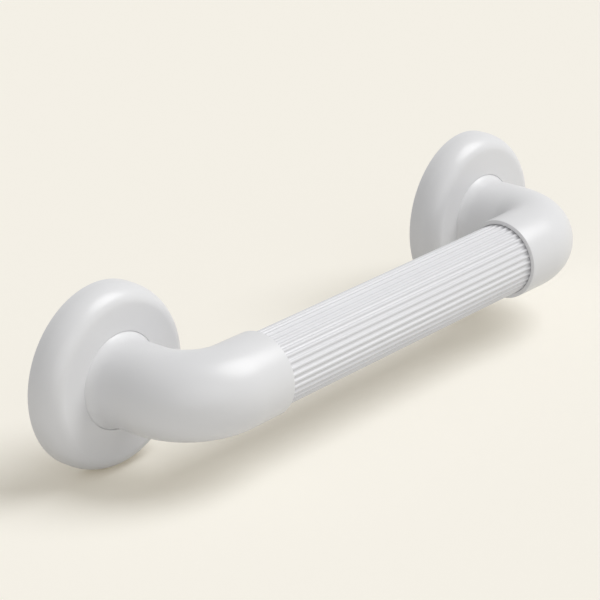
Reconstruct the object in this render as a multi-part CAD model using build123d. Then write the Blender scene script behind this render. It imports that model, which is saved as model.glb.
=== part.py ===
from build123d import *
from math import pi
import os

# Wall grab bar: a fluted tube between two moulded elbows, each with a cover ring that clips over its flange.
# Origin midway between the two flanges on the wall plane, +X along the bar, +Y into the wall, +Z up.
# All sizes in millimetres.

# Bar and its place on the wall
flange_spacing = 261.0
hand_clearance = 39.5

# Fluted tube, its rib height and rounds as shares of the rib pitch
grip_radius = 17.5
rib_count = 36
rib_turn = 1.0
height_share = 0.26
crest_share = 0.28
groove_share = 0.2
tube_wall = 3.0

# Elbow moulding
socket_clearance = 0.15
socket_depth = 18.0
rim_wall = 2.0
rim_round = 0.4
barrel_draft = 0.15
stop_land = 0.5
elbow_wall = 5.0
inner_bend_radius = 4.5
leg_flare = 2.2
flare_length = 6.5

# Wall flange, moulded on the foot of the elbow
flange_thickness = 5.0
flange_lead_in = 1.4
foot_fillet = 2.5
screw_count = 3
screw_hole_radius = 2.75
screw_head_radius = 5.2
screw_to_leg = 8.0
screw_to_edge = 9.75

# Cover ring
cover_wall = 2.2
cover_gap = 0.25
cover_to_wall = 0.3
lip_clearance = 0.1
lip_height = 14.25
lip_drop = 0.7
shoulder_width = 7.7
lip_round = 0.25
clip_ridge_height = 0.6
clip_clearance = 0.2

# Tube and elbow sizes that follow
rib_pitch = 2 * pi * grip_radius / rib_count
rib_root_radius = grip_radius - height_share * rib_pitch
crest_round = crest_share * rib_pitch
groove_round = groove_share * rib_pitch
tube_bore_radius = rib_root_radius - tube_wall
socket_radius = grip_radius + socket_clearance
mouth_radius = socket_radius + rim_wall
elbow_radius = mouth_radius + barrel_draft
passage_radius = elbow_radius - elbow_wall
leg_radius = elbow_radius + leg_flare
bend_radius = elbow_radius + inner_bend_radius
barrel_length = socket_depth + stop_land
bar_height = hand_clearance + grip_radius
leg_run = bar_height - bend_radius
flange_x = flange_spacing / 2
mouth_x = flange_x - bend_radius - barrel_length
tube_length = 2 * (mouth_x + socket_depth)

# Flange and cover sizes that follow
screw_circle_radius = leg_radius + screw_to_leg
flange_radius = screw_circle_radius + screw_to_edge
rim_inner_radius = flange_radius + cover_gap
cover_radius = rim_inner_radius + cover_wall
rim_height = flange_thickness - flange_lead_in
ridge_middle = rim_height / 2
lip_radius = leg_radius + lip_clearance
crest_radius = cover_radius - shoulder_width
crest_height = lip_height + lip_drop
seat_height = lip_height - lip_round
flare_top = seat_height + flare_length


def fluted_grip():
    """Extruded tube with soft waves of ribs and grooves all round, lying along the bar axis."""
    ribs = PolarLocations(grip_radius - crest_round, rib_count, start_angle=rib_turn)
    section = Circle(rib_root_radius) + ribs * Circle(crest_round)
    rib_feet = section.vertices().group_by(SortBy.DISTANCE)[0]
    section = fillet(rib_feet, groove_round) - Circle(tube_bore_radius)
    bar_axis = Plane(origin=(0, -bar_height, 0), x_dir=(0, 1, 0), z_dir=(1, 0, 0))
    return extrude(bar_axis * section, tube_length / 2, both=True)


def clip_ridge(height):
    """Section of the pointed clip ridge that stands in from the cover's rim."""
    tip = rim_inner_radius - height
    return make_face(
        Polyline(
            (rim_inner_radius, -ridge_middle - height),
            (tip, -ridge_middle),
            (rim_inner_radius, -ridge_middle + height),
            close=True,
        )
    )


def leg_side(inset):
    """Straight leg from the bend, then an arc that flares out to the leg's seat in the cover."""
    bend = (elbow_radius - inset, -leg_run)
    flare_start = (elbow_radius - inset, -flare_top)
    seat = (leg_radius - inset, -seat_height)
    return Line(bend, flare_start) + TangentArc(flare_start, seat, tangent=(0, 1))


def leg_and_flange():
    """Foot of the elbow, turned about the leg axis: screw flange, straight seat and flared leg."""
    clip_groove = clip_ridge(clip_ridge_height + clip_clearance)
    seat_foot = -flange_thickness - foot_fillet
    outline = Polyline(
        (leg_radius - elbow_wall, 0),
        (flange_radius, 0),
        (flange_radius, -rim_height),
        (flange_radius - flange_lead_in, -flange_thickness),
        (leg_radius + foot_fillet, -flange_thickness),
    )
    foot = TangentArc((outline @ 1), (leg_radius, seat_foot), tangent=(-1, 0))
    seat = Line((leg_radius, seat_foot), (leg_radius, -seat_height))
    end = Line((elbow_radius, -leg_run), (passage_radius, -leg_run))
    bore = Line((leg_radius - elbow_wall, -seat_height), (leg_radius - elbow_wall, 0))
    profile = make_face(outline + foot + seat + leg_side(0) + end + leg_side(elbow_wall) + bore)
    return revolve(profile - clip_groove, Axis.Y)


def quarter_bend():
    """Tight quarter bend of even wall from the end of the leg to the bar axis."""
    leg_end = Plane(origin=(0, -leg_run, 0), x_dir=(1, 0, 0), z_dir=(0, -1, 0))
    ring = leg_end * (Circle(elbow_radius) - Circle(passage_radius))
    return revolve(ring, Axis((-bend_radius, -leg_run, 0), (0, 0, -1)), 90)


def tube_socket():
    """Straight barrel with the socket for the tube, its stop and a rounded rim."""
    bend_end = -bend_radius
    mouth = bend_end - barrel_length
    stop = mouth + socket_depth
    profile = make_face(
        Polyline(
            (bend_end, passage_radius),
            (bend_end, elbow_radius),
            (mouth, mouth_radius),
            (mouth, socket_radius),
            (stop, socket_radius),
            (stop, passage_radius),
            close=True,
        )
    )
    rim_corner = profile.vertices().sort_by_distance((mouth, mouth_radius))[0]
    profile = fillet(rim_corner, rim_round)
    return Pos(0, -bar_height, 0) * revolve(profile, Axis.X)


def screw_holes():
    """Countersunk holes through the flange, the first one pointing away from the bar."""
    sink = screw_head_radius - screw_hole_radius
    profile = Plane.XZ * make_face(
        Polyline(
            (0, 0),
            (screw_hole_radius, 0),
            (screw_hole_radius, flange_thickness - sink),
            (screw_head_radius, flange_thickness),
            (0, flange_thickness),
            close=True,
        )
    )
    hole = revolve(profile, Axis.Z)
    wall_face = Plane(origin=(0, 0, 0), x_dir=(1, 0, 0), z_dir=(0, -1, 0))
    return [wall_face * place * hole for place in PolarLocations(screw_circle_radius, screw_count)]


def elbow():
    """One moulding: flange, leg, bend and tube socket, about the leg axis."""
    moulding = leg_and_flange() + quarter_bend() + tube_socket()
    return moulding - screw_holes()


def cover_curve(inset):
    """Profile of the cover ring from rim to lip, moved inwards by the given depth."""
    rim_edge = cover_radius - inset
    shoulder_rise = crest_height - rim_height - inset
    rim = Line((rim_edge, -cover_to_wall), (rim_edge, -rim_height))
    shoulder = EllipticalCenterArc(
        (crest_radius, -rim_height), shoulder_width - inset, shoulder_rise, start_angle=-90, arc_size=90
    )
    crest = (crest_radius, inset - crest_height)
    lip = (lip_radius, inset - lip_height)
    funnel = TangentArc(crest, lip, tangent=(-1, 0))
    return rim + shoulder + funnel


def cover():
    """Moulded ring shell with a clip ridge inside its rim, about the leg axis."""
    lip_edge = Line((lip_radius, -lip_height), (lip_radius, cover_wall - lip_height))
    rim_edge = Line((rim_inner_radius, -cover_to_wall), (cover_radius, -cover_to_wall))
    profile = make_face(cover_curve(0) + lip_edge + cover_curve(cover_wall) + rim_edge)
    lip_corner = profile.vertices().sort_by_distance((lip_radius, -lip_height))[0]
    profile = fillet(lip_corner, lip_round)
    return revolve(profile + clip_ridge(clip_ridge_height), Axis.Y)


right_end = Pos(flange_x, 0, 0)
right_elbow = right_end * elbow()
right_cover = right_end * cover()

nodes = {
    "fluted_grip": fluted_grip(),
    "right_elbow": right_elbow,
    "left_elbow": mirror(right_elbow, about=Plane.YZ),
    "right_cover": right_cover,
    "left_cover": mirror(right_cover, about=Plane.YZ),
}

os.makedirs("parts", exist_ok=True)
for node, solid in nodes.items():
    export_step(solid, f"parts/{node}.step")
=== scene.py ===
import math
import bmesh
import bpy
from mathutils import Matrix, Vector


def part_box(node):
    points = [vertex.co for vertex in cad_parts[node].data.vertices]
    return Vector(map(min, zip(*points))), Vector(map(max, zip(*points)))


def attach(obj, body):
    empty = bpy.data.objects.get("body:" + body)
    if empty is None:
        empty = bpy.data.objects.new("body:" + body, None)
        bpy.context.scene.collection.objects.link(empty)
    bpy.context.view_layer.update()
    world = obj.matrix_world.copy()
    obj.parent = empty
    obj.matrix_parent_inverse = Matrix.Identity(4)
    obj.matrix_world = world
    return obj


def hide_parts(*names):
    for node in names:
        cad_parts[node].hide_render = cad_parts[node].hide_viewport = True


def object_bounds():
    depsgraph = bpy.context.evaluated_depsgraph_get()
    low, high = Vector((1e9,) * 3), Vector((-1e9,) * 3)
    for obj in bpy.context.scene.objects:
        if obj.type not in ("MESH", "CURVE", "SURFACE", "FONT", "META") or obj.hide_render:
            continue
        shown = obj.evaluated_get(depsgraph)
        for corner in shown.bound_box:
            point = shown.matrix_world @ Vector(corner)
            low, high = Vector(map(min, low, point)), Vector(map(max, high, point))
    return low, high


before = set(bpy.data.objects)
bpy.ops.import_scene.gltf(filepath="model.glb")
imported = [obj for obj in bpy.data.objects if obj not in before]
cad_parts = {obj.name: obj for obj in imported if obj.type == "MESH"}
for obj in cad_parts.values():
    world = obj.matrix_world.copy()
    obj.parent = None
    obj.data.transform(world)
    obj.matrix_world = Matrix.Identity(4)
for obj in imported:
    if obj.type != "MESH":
        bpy.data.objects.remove(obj)        # packed bar in metres, wall plane at y = 0, bar along x
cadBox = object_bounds()
print("frame loaded:", ", ".join(sorted(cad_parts)))

mm = 0.001
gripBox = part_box("fluted_grip")
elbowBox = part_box("right_elbow")
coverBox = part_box("right_cover")
legX = (coverBox[0].x + coverBox[1].x) / 2    # axis of the right leg
barY = (gripBox[0].y + gripBox[1].y) / 2      # axis of the bar, in front of the wall
floorZ = cadBox[0].z                          # the covers stand on the floor
mergeDistance = 0.002 * mm
sharpEdge = 35                                # degrees, edges that bend more stay crisp


# sketching: a pen tip is a vertex, and each stroke returns the next tip
def lineTo(bm, tip, place):
    end = bm.verts.new(place)
    bm.edges.new((tip, end))
    return end


def arcTo(bm, tip, centre, degrees, steps, axis=(0, 0, 1), stretch=1.0):
    swept = bmesh.ops.spin(bm, geom=[tip], cent=centre, axis=axis, dvec=(0, 0, 0),
                           angle=math.radians(degrees), steps=steps)
    end = [v for v in swept["geom_last"] if isinstance(v, bmesh.types.BMVert)][0]
    if stretch != 1.0:    # a quarter circle becomes a quarter ellipse
        walk, last = [end], None
        while walk[-1] is not tip:
            ahead = [e.other_vert(walk[-1]) for e in walk[-1].link_edges]
            step = [v for v in ahead if v is not last][0]
            last = walk[-1]
            walk.append(step)
        bmesh.ops.scale(bm, vec=(1, stretch, 1), space=Matrix.Translation(-Vector(centre)), verts=walk)
    return end


def edgesOf(verts):    # each edge once, in a fixed order
    return list(dict.fromkeys(e for v in verts for e in v.link_edges))


def turn(bm, geom, centre, axis, steps):
    bmesh.ops.spin(bm, geom=geom, cent=centre, axis=axis, dvec=(0, 0, 0),
                   angle=2 * math.pi, steps=steps, use_merge=True)


def finishMesh(bm, name, sharpAngle=sharpEdge):
    bmesh.ops.remove_doubles(bm, verts=bm.verts[:], dist=mergeDistance)
    bmesh.ops.recalc_face_normals(bm, faces=bm.faces[:])
    mesh = bpy.data.meshes.new(name)
    bm.to_mesh(mesh)
    bm.free()
    mesh.shade_smooth()
    mesh.set_sharp_from_angle(angle=math.radians(sharpAngle))
    piece = bpy.data.objects.new(name, mesh)
    bpy.context.scene.collection.objects.link(piece)
    return piece


def mirrored(piece, name):
    bm = bmesh.new()
    bm.from_mesh(piece.data)
    bmesh.ops.scale(bm, vec=(-1, 1, 1), verts=bm.verts[:])
    return finishMesh(bm, name)


# cover ring: short rim, round shoulder and a nearly flat face that dips a little to the lip round the leg
cover = {
    "radius": (coverBox[1].z - coverBox[0].z) / 2,
    "crestHeight": -coverBox[0].y,
    "rimStart": -coverBox[1].y,
    "rimHeight": 3.6 * mm,
    "shoulderWidth": 7.7 * mm,
    "lipRadius": 22.1 * mm,
    "lipHeight": 14.25 * mm,
    "lipRound": 0.25 * mm,
    "wall": 2.2 * mm,
    "clipRidge": 0.6 * mm,
    "turnSteps": 192,
    "shoulderSteps": 24,
    "dishSteps": 12,
    "lipSteps": 4,
}


def atLeg(radius, height):
    return Vector((legX + radius, -height, 0))


def coverCurve(bm, inset, lipRound):
    rimRadius = cover["radius"] - inset
    rise = cover["crestHeight"] - cover["rimHeight"] - inset
    crestRadius = cover["radius"] - cover["shoulderWidth"]
    drop = cover["crestHeight"] - cover["lipHeight"]
    dishWidth = crestRadius - cover["lipRadius"]
    dishRadius = (dishWidth ** 2 + drop ** 2) / (2 * drop)
    dishCentre = cover["crestHeight"] - inset - dishRadius
    start = bm.verts.new(atLeg(rimRadius, cover["rimStart"]))
    tip = start
    if inset:    # pointed clip ridge on the inner wall
        ridgeMiddle = cover["rimHeight"] / 2
        ridge = cover["clipRidge"]
        for along, proud in ((-1, 0), (0, 1), (1, 0)):
            tip = lineTo(bm, tip, atLeg(rimRadius - proud * ridge, ridgeMiddle + along * ridge))
    tip = lineTo(bm, tip, atLeg(rimRadius, cover["rimHeight"]))
    width = cover["shoulderWidth"] - inset
    shoulderCentre = atLeg(crestRadius, cover["rimHeight"])
    tip = arcTo(bm, tip, shoulderCentre, -90, cover["shoulderSteps"], stretch=rise / width)
    sweep = math.asin((dishWidth - lipRound) / (dishRadius - lipRound))
    tip = arcTo(bm, tip, atLeg(crestRadius, dishCentre), -math.degrees(sweep), cover["dishSteps"])
    if lipRound:
        lipCentre = dishCentre + (dishRadius - lipRound) * math.cos(sweep)
        centre = atLeg(cover["lipRadius"] + lipRound, lipCentre)
        tip = arcTo(bm, tip, centre, math.degrees(sweep) - 90, cover["lipSteps"])
    return start, tip


def makeCover():
    bm = bmesh.new()
    outerRim, outerLip = coverCurve(bm, 0, cover["lipRound"])
    innerRim, innerLip = coverCurve(bm, cover["wall"], 0)
    bm.edges.new((outerLip, innerLip))
    bm.edges.new((outerRim, innerRim))
    turn(bm, bm.verts[:] + bm.edges[:], (legX, 0, 0), (0, 1, 0), cover["turnSteps"])
    return finishMesh(bm, "coverRingRight")


# elbow moulding: screw flange, flared leg, tight quarter bend and the socket for the tube
elbow = {
    "flangeRadius": (elbowBox[1].z - elbowBox[0].z) / 2,
    "flangeThickness": 5.0 * mm,
    "leadIn": 1.4 * mm,
    "clipGroove": 0.8 * mm,
    "footFillet": 2.5 * mm,
    "legRadius": 22.0 * mm,
    "flareLength": 6.5 * mm,
    "radius": 19.8 * mm,
    "mouthRadius": 19.65 * mm,
    "rimRound": 0.4 * mm,
    "socketRadius": 17.65 * mm,
    "socketDepth": 18.0 * mm,
    "socketLeadIn": 0.15 * mm,
    "wall": 5.0 * mm,
    "bendRadius": 24.3 * mm,
    "mouthX": elbowBox[0].x,
    "turnSteps": 160,
    "bendSteps": 36,
    "flareSteps": 10,
    "footSteps": 6,
    "rimSteps": 8,
}
screws = {
    "count": 3,
    "circleRadius": 30.0 * mm,
    "holeRadius": 2.75 * mm,
    "headRadius": 5.2 * mm,
    "spare": 1.0 * mm,    # the cutter stands proud of both faces
    "turnSteps": 48,
}
legRun = -barY - elbow["bendRadius"]                   # from the wall to the start of the bend
seatHeight = cover["lipHeight"] - cover["lipRound"]    # the leg is straight up to here


def legSide(bm, tip, inset, towardsWall):
    step = elbow["legRadius"] - elbow["radius"]
    arcRadius = (elbow["flareLength"] ** 2 + step ** 2) / (2 * step)
    sweep = math.degrees(math.asin(elbow["flareLength"] / arcRadius))
    flareTop = seatHeight + elbow["flareLength"]
    side = elbow["radius"] - inset
    centre = atLeg(side + arcRadius, flareTop)
    if towardsWall:
        tip = lineTo(bm, tip, atLeg(side, flareTop))
        return arcTo(bm, tip, centre, -sweep, elbow["flareSteps"])
    tip = arcTo(bm, tip, centre, sweep, elbow["flareSteps"])
    return lineTo(bm, tip, atLeg(side, legRun))


def legProfile(bm):
    top = elbow["flangeThickness"]
    grooveMiddle = cover["rimHeight"] / 2
    gap = cover["radius"] - cover["wall"] - elbow["flangeRadius"]    # between flange edge and cover rim
    grooveHalf = elbow["clipGroove"] - gap
    bore = elbow["legRadius"] - elbow["wall"]
    tip = bm.verts.new(atLeg(elbow["radius"], legRun))
    tip = legSide(bm, tip, 0, True)
    tip = lineTo(bm, tip, atLeg(elbow["legRadius"], top + elbow["footFillet"]))
    footCentre = atLeg(elbow["legRadius"] + elbow["footFillet"], top + elbow["footFillet"])
    tip = arcTo(bm, tip, footCentre, 90, elbow["footSteps"])
    tip = lineTo(bm, tip, atLeg(elbow["flangeRadius"] - elbow["leadIn"], top))
    tip = lineTo(bm, tip, atLeg(elbow["flangeRadius"], top - elbow["leadIn"]))
    for along, deep in ((1, 0), (0, 1), (-1, 0)):
        place = atLeg(elbow["flangeRadius"] - deep * grooveHalf, grooveMiddle + along * grooveHalf)
        tip = lineTo(bm, tip, place)
    tip = lineTo(bm, tip, atLeg(elbow["flangeRadius"], 0))
    tip = lineTo(bm, tip, atLeg(bore, 0))
    tip = lineTo(bm, tip, atLeg(bore, seatHeight))
    legSide(bm, tip, elbow["wall"], False)


def barrelProfile(bm):
    mouth = elbow["mouthX"]
    bendEnd = legX - elbow["bendRadius"]
    stop = mouth + elbow["socketDepth"]
    passage = elbow["radius"] - elbow["wall"]
    roundOff = elbow["rimRound"]

    def atBar(x, radius):
        return Vector((x, barY - radius, 0))

    tip = bm.verts.new(atBar(bendEnd, elbow["radius"]))
    tip = lineTo(bm, tip, atBar(mouth + roundOff, elbow["mouthRadius"]))
    tip = arcTo(bm, tip, atBar(mouth + roundOff, elbow["mouthRadius"] - roundOff), -90, elbow["rimSteps"])
    tip = lineTo(bm, tip, atBar(mouth, elbow["socketRadius"] + elbow["socketLeadIn"]))
    tip = lineTo(bm, tip, atBar(mouth + elbow["socketLeadIn"], elbow["socketRadius"]))
    tip = lineTo(bm, tip, atBar(stop, elbow["socketRadius"]))
    tip = lineTo(bm, tip, atBar(stop, passage))
    lineTo(bm, tip, atBar(bendEnd, passage))


def makeScrewCutter():
    bm = bmesh.new()
    top = elbow["flangeThickness"]
    sink = screws["headRadius"] - screws["holeRadius"]
    spare = screws["spare"]
    outline = ((0, -spare), (screws["holeRadius"], -spare), (screws["holeRadius"], top - sink),
               (screws["headRadius"] + spare, top + spare), (0, top + spare))
    for i in range(screws["count"]):
        angle = 2 * math.pi * i / screws["count"]
        centre = atLeg(screws["circleRadius"] * math.cos(angle), 0)
        centre.z = screws["circleRadius"] * math.sin(angle)
        tips = [bm.verts.new(centre + Vector((r, -h, 0))) for r, h in outline]
        edges = [bm.edges.new(pair) for pair in zip(tips, tips[1:])]
        turn(bm, tips + edges, centre, (0, 1, 0), screws["turnSteps"])
    return finishMesh(bm, "screwCutter")


def makeElbow():
    bm = bmesh.new()
    legProfile(bm)
    turn(bm, bm.verts[:] + bm.edges[:], (legX, 0, 0), (0, 1, 0), elbow["turnSteps"])
    bmesh.ops.remove_doubles(bm, verts=bm.verts[:], dist=mergeDistance)
    legEnd = [edge for edge in bm.edges if edge.is_boundary]
    bmesh.ops.spin(bm, geom=legEnd, cent=(legX - elbow["bendRadius"], -legRun, 0), axis=(0, 0, 1),
                   dvec=(0, 0, 0), angle=-math.pi / 2, steps=elbow["bendSteps"])
    madeBefore = set(bm.verts)
    barrelProfile(bm)
    barrel = [v for v in bm.verts if v not in madeBefore]
    turn(bm, barrel + edgesOf(barrel), (0, barY, 0), (1, 0, 0), elbow["turnSteps"])
    piece = finishMesh(bm, "elbowMouldingRight")
    cutter = makeScrewCutter()
    drill = piece.modifiers.new("screwHoles", "BOOLEAN")
    drill.operation = "DIFFERENCE"
    drill.solver = "EXACT"
    drill.object = cutter
    bpy.context.view_layer.update()
    drilled = bpy.data.meshes.new_from_object(piece.evaluated_get(bpy.context.evaluated_depsgraph_get()))
    piece.modifiers.clear()
    piece.data = drilled
    drilled.set_sharp_from_angle(angle=math.radians(sharpEdge))
    bpy.data.objects.remove(cutter)
    return piece


# fluted tube: a soft wave of ribs and grooves all round
grip = {
    "radius": 17.5 * mm,
    "ribCount": 36,
    "ribTurn": 1.0,         # degrees
    "heightShare": 0.26,    # shares of the rib pitch
    "crestShare": 0.28,
    "grooveShare": 0.2,
    "wall": 3.0 * mm,
    "crestSteps": 12,
    "grooveSteps": 8,
    "boreSteps": 72,
    "sharpAngle": 40,
}


def makeGrip():
    bm = bmesh.new()
    x = gripBox[0].x
    length = gripBox[1].x - gripBox[0].x
    axisPoint = Vector((x, barY, 0))
    turnPitch = 2 * math.pi / grip["ribCount"]
    pitch = turnPitch * grip["radius"]
    crest = grip["crestShare"] * pitch
    groove = grip["grooveShare"] * pitch
    root = grip["radius"] - grip["heightShare"] * pitch
    crestAt = grip["radius"] - crest
    grooveAt = root + groove

    def around(angle, radius):
        return axisPoint + Vector((0, radius * math.cos(angle), radius * math.sin(angle)))

    # a groove's round touches the root circle and the crest's round:
    # foot is the turn of its centre about the bar axis, flank its turn about the crest's centre
    foot = math.acos((grooveAt ** 2 + crestAt ** 2 - (crest + groove) ** 2) / (2 * grooveAt * crestAt))
    flank = math.atan2(grooveAt * math.sin(foot), grooveAt * math.cos(foot) - crestAt)
    tip = bm.verts.new(around(-foot, root))
    for centre, sweep, steps in (
        (around(-foot, grooveAt), foot - flank, grip["grooveSteps"]),
        (around(0, crestAt), 2 * flank, grip["crestSteps"]),
        (around(foot, grooveAt), foot - flank, grip["grooveSteps"]),
        (axisPoint, turnPitch - 2 * foot, 1),
    ):
        tip = arcTo(bm, tip, centre, math.degrees(sweep), steps, axis=(1, 0, 0))
    bmesh.ops.spin(bm, geom=bm.verts[:] + bm.edges[:], cent=axisPoint, axis=(1, 0, 0), dvec=(0, 0, 0),
                   angle=2 * math.pi - turnPitch, steps=grip["ribCount"] - 1, use_duplicate=True)
    phase = Matrix.Rotation(math.radians(grip["ribTurn"]), 3, "X")
    bmesh.ops.rotate(bm, cent=axisPoint, matrix=phase, verts=bm.verts[:])
    bmesh.ops.remove_doubles(bm, verts=bm.verts[:], dist=mergeDistance)
    outside = bm.edges[:]
    place = Matrix.Translation(axisPoint) @ Matrix.Rotation(math.pi / 2, 4, "Y")
    bore = bmesh.ops.create_circle(bm, segments=grip["boreSteps"], radius=root - grip["wall"],
                                   matrix=place)
    inside = edgesOf(bore["verts"])
    ends = [outside + inside]
    pulled = bmesh.ops.extrude_edge_only(bm, edges=outside + inside)
    moved = [v for v in pulled["geom"] if isinstance(v, bmesh.types.BMVert)]
    bmesh.ops.translate(bm, vec=(length, 0, 0), verts=moved)
    ends.append([e for e in edgesOf(moved) if all(v in moved for v in e.verts)])
    for loops in ends:
        bmesh.ops.bridge_loops(bm, edges=loops)
    return finishMesh(bm, "flutedTube", grip["sharpAngle"])


# materials
def linear(hexColour):
    channels = [int(hexColour[i:i + 2], 16) / 255 for i in (1, 3, 5)]
    return tuple(c / 12.92 if c <= 0.04045 else ((c + 0.055) / 1.055) ** 2.4 for c in channels) + (1.0,)


def addNode(tree, kind, settings=None, **inputs):
    node = tree.nodes.new(kind)
    for key, value in (settings or {}).items():
        setattr(node, key, value)
    for key, value in inputs.items():
        socket = node.inputs[key.replace("_", " ")]
        if isinstance(value, bpy.types.NodeSocket):
            tree.links.new(value, socket)
        else:
            socket.default_value = value
    return node


def newMaterial(name):
    material = bpy.data.materials.new(name)
    material.use_nodes = True
    material.node_tree.nodes.clear()
    return material, material.node_tree


def satinSkin(tree, look, colour, pattern):    # gloss and fine relief follow one pattern
    spread = look["roughSpread"]
    rough = addNode(tree, "ShaderNodeMapRange", Value=pattern,
                    To_Min=look["roughness"] - spread, To_Max=look["roughness"] + spread)
    bump = addNode(tree, "ShaderNodeBump", Height=pattern,
                   Strength=look["bump"], Distance=look["bumpDepth"])
    skin = addNode(tree, "ShaderNodeBsdfPrincipled", Base_Color=colour, Roughness=rough.outputs["Result"],
                   Normal=bump.outputs["Normal"], IOR=look["ior"])
    addNode(tree, "ShaderNodeOutputMaterial", Surface=skin.outputs["BSDF"])


# injection-moulded white ABS: satin and smooth, with the faint unevenness of a polished tool
moulded = {
    "colour": "#E8E8E9",
    "shade": "#E5E5E6",
    "roughness": 0.31,
    "roughSpread": 0.02,
    "grain": 3.0 * mm,
    "flow": 35.0 * mm,
    "bump": 0.02,
    "bumpDepth": 0.05 * mm,
    "ior": 1.53,
}


def mouldedAbs(name):
    material, tree = newMaterial(name)
    place = addNode(tree, "ShaderNodeTexCoord").outputs["Object"]
    flow = addNode(tree, "ShaderNodeTexNoise", Vector=place, Scale=1 / moulded["flow"], Detail=2.0)
    grain = addNode(tree, "ShaderNodeTexNoise", Vector=place, Scale=1 / moulded["grain"], Detail=3.0)
    tint = addNode(tree, "ShaderNodeMix", {"data_type": "RGBA"}, Factor=flow.outputs["Fac"],
                   A=linear(moulded["colour"]), B=linear(moulded["shade"]))
    satinSkin(tree, moulded, tint.outputs["Result"], grain.outputs["Fac"])
    return material


# extruded white PVC: glossier and a touch cooler than the mouldings, with faint die lines along the bar
extruded = {
    "colour": "#E2E2E4",
    "roughness": 0.26,
    "roughSpread": 0.05,
    "dieLine": 0.25 * mm,
    "drawn": 90.0 * mm,
    "bump": 0.06,
    "bumpDepth": 0.03 * mm,
    "ior": 1.53,
}


def extrudedPvc(name):
    material, tree = newMaterial(name)
    place = addNode(tree, "ShaderNodeTexCoord").outputs["Object"]
    across = 1 / extruded["dieLine"]
    drawn = addNode(tree, "ShaderNodeMapping", Vector=place, Scale=(1 / extruded["drawn"], across, across))
    lines = addNode(tree, "ShaderNodeTexNoise", Vector=drawn.outputs["Vector"], Scale=1.0, Detail=2.0)
    satinSkin(tree, extruded, linear(extruded["colour"]), lines.outputs["Fac"])
    return material


# cream studio paper: matt, and a little painted glow, warm and seen only straight on, mirrored or through
# glass, keeps its shadow soft and paints it warm
paper = {
    "colour": "#F4F0E6",
    # shade is the colour of the painted glow: warm light painted into the floor's shadow
    "shade": "#F4E2BA",
    "bounce": "#DCDAD5",    # what it throws back on the bar
    "glow": 0.19,
    "light": 0.845,         # lamps and room together on the open floor
    "size": 4.0,
}


def seenRay(tree):    # 1 for rays that show the studio itself: straight, mirrored or through glass
    path = addNode(tree, "ShaderNodeLightPath").outputs
    seen = path["Is Camera Ray"]
    for kind in ("Is Glossy Ray", "Is Transmission Ray"):
        either = addNode(tree, "ShaderNodeMath", {"operation": "MAXIMUM"})
        tree.links.new(seen, either.inputs[0])
        tree.links.new(path[kind], either.inputs[1])
        seen = either.outputs["Value"]
    return seen


def floorPaper():
    material, tree = newMaterial("creamStudioPaper")
    cream = linear(paper["colour"])
    bounce = addNode(tree, "ShaderNodeBsdfDiffuse", Color=linear(paper["bounce"]))
    shade = linear(paper["shade"])
    # where the lamps reach, the lit paper and its painted glow together show cream
    rest = [(whole - paper["glow"] * warm) / paper["light"] for whole, warm in zip(cream, shade)]
    lit = addNode(tree, "ShaderNodeBsdfDiffuse", Color=rest[:3] + [1])
    # painted light: this glow lifts the floor's shadow and tints it warm
    glow = addNode(tree, "ShaderNodeEmission", Color=shade, Strength=paper["glow"])
    shown = addNode(tree, "ShaderNodeAddShader")
    tree.links.new(lit.outputs["BSDF"], shown.inputs[0])
    tree.links.new(glow.outputs["Emission"], shown.inputs[1])
    both = addNode(tree, "ShaderNodeMixShader", Fac=seenRay(tree))
    tree.links.new(bounce.outputs["BSDF"], both.inputs[1])
    tree.links.new(shown.outputs["Shader"], both.inputs[2])
    addNode(tree, "ShaderNodeOutputMaterial", Surface=both.outputs["Shader"])
    return material


coverRight = makeCover()
coverLeft = mirrored(coverRight, "coverRingLeft")
elbowRight = makeElbow()
elbowLeft = mirrored(elbowRight, "elbowMouldingLeft")
tube = makeGrip()
print("pieces made:", {o.name: len(o.data.polygons) for o in (coverRight, elbowRight, tube)})

whiteAbs = mouldedAbs("mouldedWhiteAbs")
whitePvc = extrudedPvc("extrudedWhitePvc")
for piece, node, slotName, skin in (
    (coverRight, "right_cover", "cover_abs", whiteAbs),
    (coverLeft, "left_cover", "cover_abs", whiteAbs),
    (elbowRight, "right_elbow", "elbow_abs", whiteAbs),
    (elbowLeft, "left_elbow", "elbow_abs", whiteAbs),
    (tube, "fluted_grip", "grip_pvc", whitePvc),
):
    piece.data.materials.clear()
    piece.data.materials.append(skin)
    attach(piece, "root")
    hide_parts(node)

# studio: cream paper, two soft lamps and an even room
bm = bmesh.new()
floorPlace = Matrix.Translation((0, 0, floorZ))
bmesh.ops.create_grid(bm, x_segments=1, y_segments=1, size=paper["size"], matrix=floorPlace)
floor = finishMesh(bm, "studioFloor")
floor.data.materials.append(floorPaper())


def awayFrom(azimuth, elevation):    # unit vector from the bar, azimuth 0 is straight in front of the wall
    turned, lifted = math.radians(azimuth), math.radians(elevation)
    level = math.cos(lifted)
    return Vector((math.sin(turned) * level, -math.cos(turned) * level, math.sin(lifted)))


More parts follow.
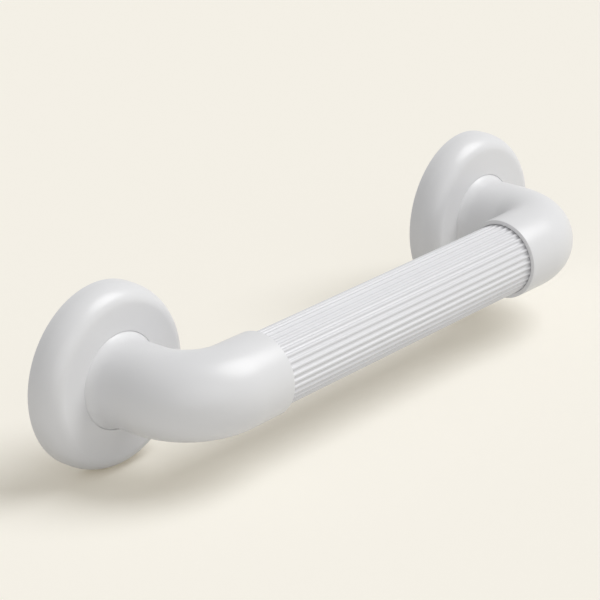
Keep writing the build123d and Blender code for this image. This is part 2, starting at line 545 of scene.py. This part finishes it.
room = {"fill": 0.35, "shown": 0.9}    # light on the bar, and the paler walls as seen or mirrored
world = bpy.data.worlds.new("studioRoom")
bpy.context.scene.world = world
world.use_nodes = True
walls = world.node_tree
walls.nodes.clear()
strength = addNode(walls, "ShaderNodeMapRange", Value=seenRay(walls),
                   To_Min=room["fill"], To_Max=room["shown"])
haze = addNode(walls, "ShaderNodeBackground", Color=(1, 1, 1, 1), Strength=strength.outputs["Result"])
addNode(walls, "ShaderNodeOutputWorld", Surface=haze.outputs["Background"])

lamps = {    # a wide key from the front right, and a weak fill that draws no second shadow
    "softKey": {"azimuth": 52.0, "elevation": 52.0, "spread": 40.0, "strength": 0.55, "shadow": True},
    "frontFill": {"azimuth": -35.0, "elevation": 20.0, "spread": 60.0, "strength": 0.17, "shadow": False},
}
for name, values in lamps.items():
    lamp = bpy.data.lights.new(name, "SUN")
    lamp.angle = math.radians(values["spread"])
    lamp.energy = values["strength"] * math.pi
    lamp.use_shadow = values["shadow"]
    light = bpy.data.objects.new(name, lamp)
    towards = awayFrom(values["azimuth"], values["elevation"])
    light.rotation_euler = towards.to_track_quat("Z", "Y").to_euler()
    bpy.context.scene.collection.objects.link(light)

# camera: a long lens from the front left, above the bar
viewpoint = {
    "azimuth": -48.87,
    "elevation": 21.69,
    "roll": -1.37,
    "distance": 1.1351,
    "aim": (-0.0149, -0.0169, 0.0016),
    "lens": 146.65,
    "sensor": 36.0,
}
back = awayFrom(viewpoint["azimuth"], viewpoint["elevation"])
right = awayFrom(viewpoint["azimuth"] + 90, 0)
roll = math.radians(viewpoint["roll"])
up = back.cross(right)
right, up = right * math.cos(roll) + up * math.sin(roll), up * math.cos(roll) - right * math.sin(roll)
camera = bpy.data.objects.new("camera", bpy.data.cameras.new("camera"))
camera.data.lens = viewpoint["lens"]
camera.data.sensor_width = viewpoint["sensor"]
camera.matrix_world = Matrix((right, up, back)).transposed().to_4x4()
camera.location = Vector(viewpoint["aim"]) + back * viewpoint["distance"]
bpy.context.scene.collection.objects.link(camera)
bpy.context.scene.camera = camera
bpy.context.scene.view_settings.view_transform = "Standard"
